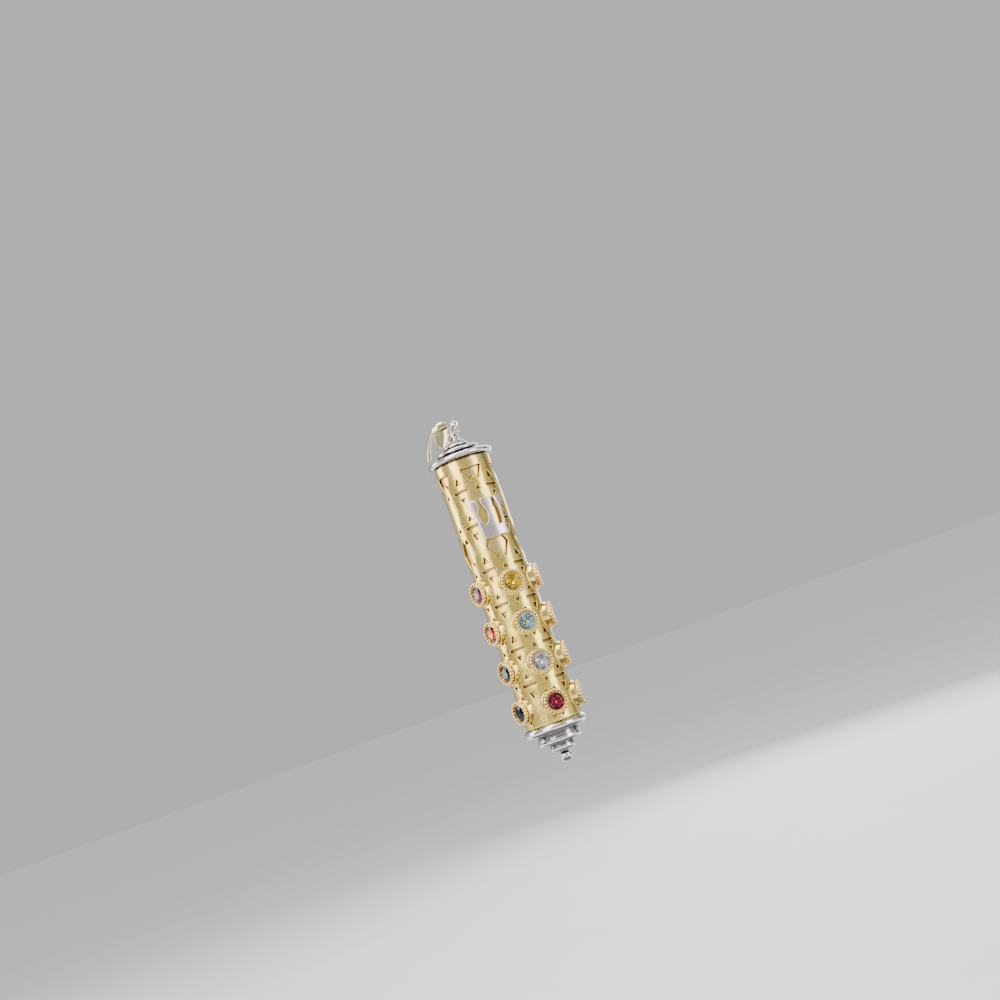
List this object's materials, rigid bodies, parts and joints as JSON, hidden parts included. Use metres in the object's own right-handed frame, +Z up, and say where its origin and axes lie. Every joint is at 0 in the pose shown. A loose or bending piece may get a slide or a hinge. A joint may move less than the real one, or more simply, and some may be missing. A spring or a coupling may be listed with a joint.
{
  "type": "mezuzah case",
  "caption": "Pendant mezuzah case: gold tube in a pierced sleeve with bezel-set stones and a three-armed emblem, stepped end caps, an eye, a ring and a bail.",
  "frame": {"origin": "lowest point of the finial, on the tube's axis", "axes": "+Z up along the tube towards the bail, -Y is the front with the emblem and the middle column of stones, +X is the right seen from the front"},
  "size_m": [0.0132, 0.0121, 0.0631],
  "materials": {
    "tube_gold": "satin yellow gold",
    "pale_gold": "polished pale yellow gold",
    "bezel_gold": "polished rich yellow gold, beaded rim",
    "bail_gold": "polished pale greenish gold",
    "white_gold": "mirror-polished white gold",
    "emblem_gold": "satin white gold",
    "parchment": "matt parchment",
    "stone_purple": "faceted round stone",
    "stone_orange": "faceted round stone",
    "stone_violet": "faceted round stone",
    "stone_black": "faceted round stone",
    "stone_yellow": "faceted round stone",
    "stone_light_blue": "faceted round stone",
    "stone_clear": "faceted round stone",
    "stone_ruby": "faceted round stone",
    "stone_green": "faceted round stone",
    "stone_blue": "faceted round stone",
    "stone_turquoise": "faceted round stone",
    "stone_pink": "faceted round stone"
  },
  "bodies": {
    "case": {"inner_tube": "tube_gold", "openwork_sleeve": "pale_gold", "parchment_scroll": "parchment", "top_cap": "white_gold", "front_emblem": "emblem_gold", "hanging_eye": "white_gold", "bezel_left_1": "bezel_gold", "stone_left_1": "stone_purple", "bezel_left_2": "bezel_gold", "stone_left_2": "stone_orange", "bezel_left_3": "bezel_gold", "stone_left_3": "stone_violet", "bezel_left_4": "bezel_gold", "stone_left_4": "stone_black", "bezel_middle_1": "bezel_gold", "stone_middle_1": "stone_yellow", "bezel_middle_2": "bezel_gold", "stone_middle_2": "stone_light_blue", "bezel_middle_3": "bezel_gold", "stone_middle_3": "stone_clear", "bezel_middle_4": "bezel_gold", "stone_middle_4": "stone_ruby", "bezel_right_1": "bezel_gold", "stone_right_1": "stone_green", "bezel_right_2": "bezel_gold", "stone_right_2": "stone_blue", "bezel_right_3": "bezel_gold", "stone_right_3": "stone_turquoise", "bezel_right_4": "bezel_gold", "stone_right_4": "stone_pink"},
    "bottom_cap": {"bottom_cap": "white_gold", "finial": "white_gold"},
    "ring": {"connector_ring": "white_gold"},
    "bail": {"bail": "bail_gold"}
  },
  "joints": [
    {"name": "bottom_cap_pull", "type": "slide", "parent": "case", "child": "bottom_cap", "axis": [0, 0, -1], "range_m": [0, 0.012]},
    {"name": "ring_swing", "type": "hinge", "parent": "case", "child": "ring", "pos_m": [0, 0, 0.06026], "axis": [0.9659, -0.2588, 0], "range_deg": [0, 60]},
    {"name": "bail_turn", "type": "hinge", "parent": "ring", "child": "bail", "pos_m": [0.00088, 0.00137, 0.0606], "axis": [0, 0, 1], "range_deg": [-90, 10]}
  ]
}
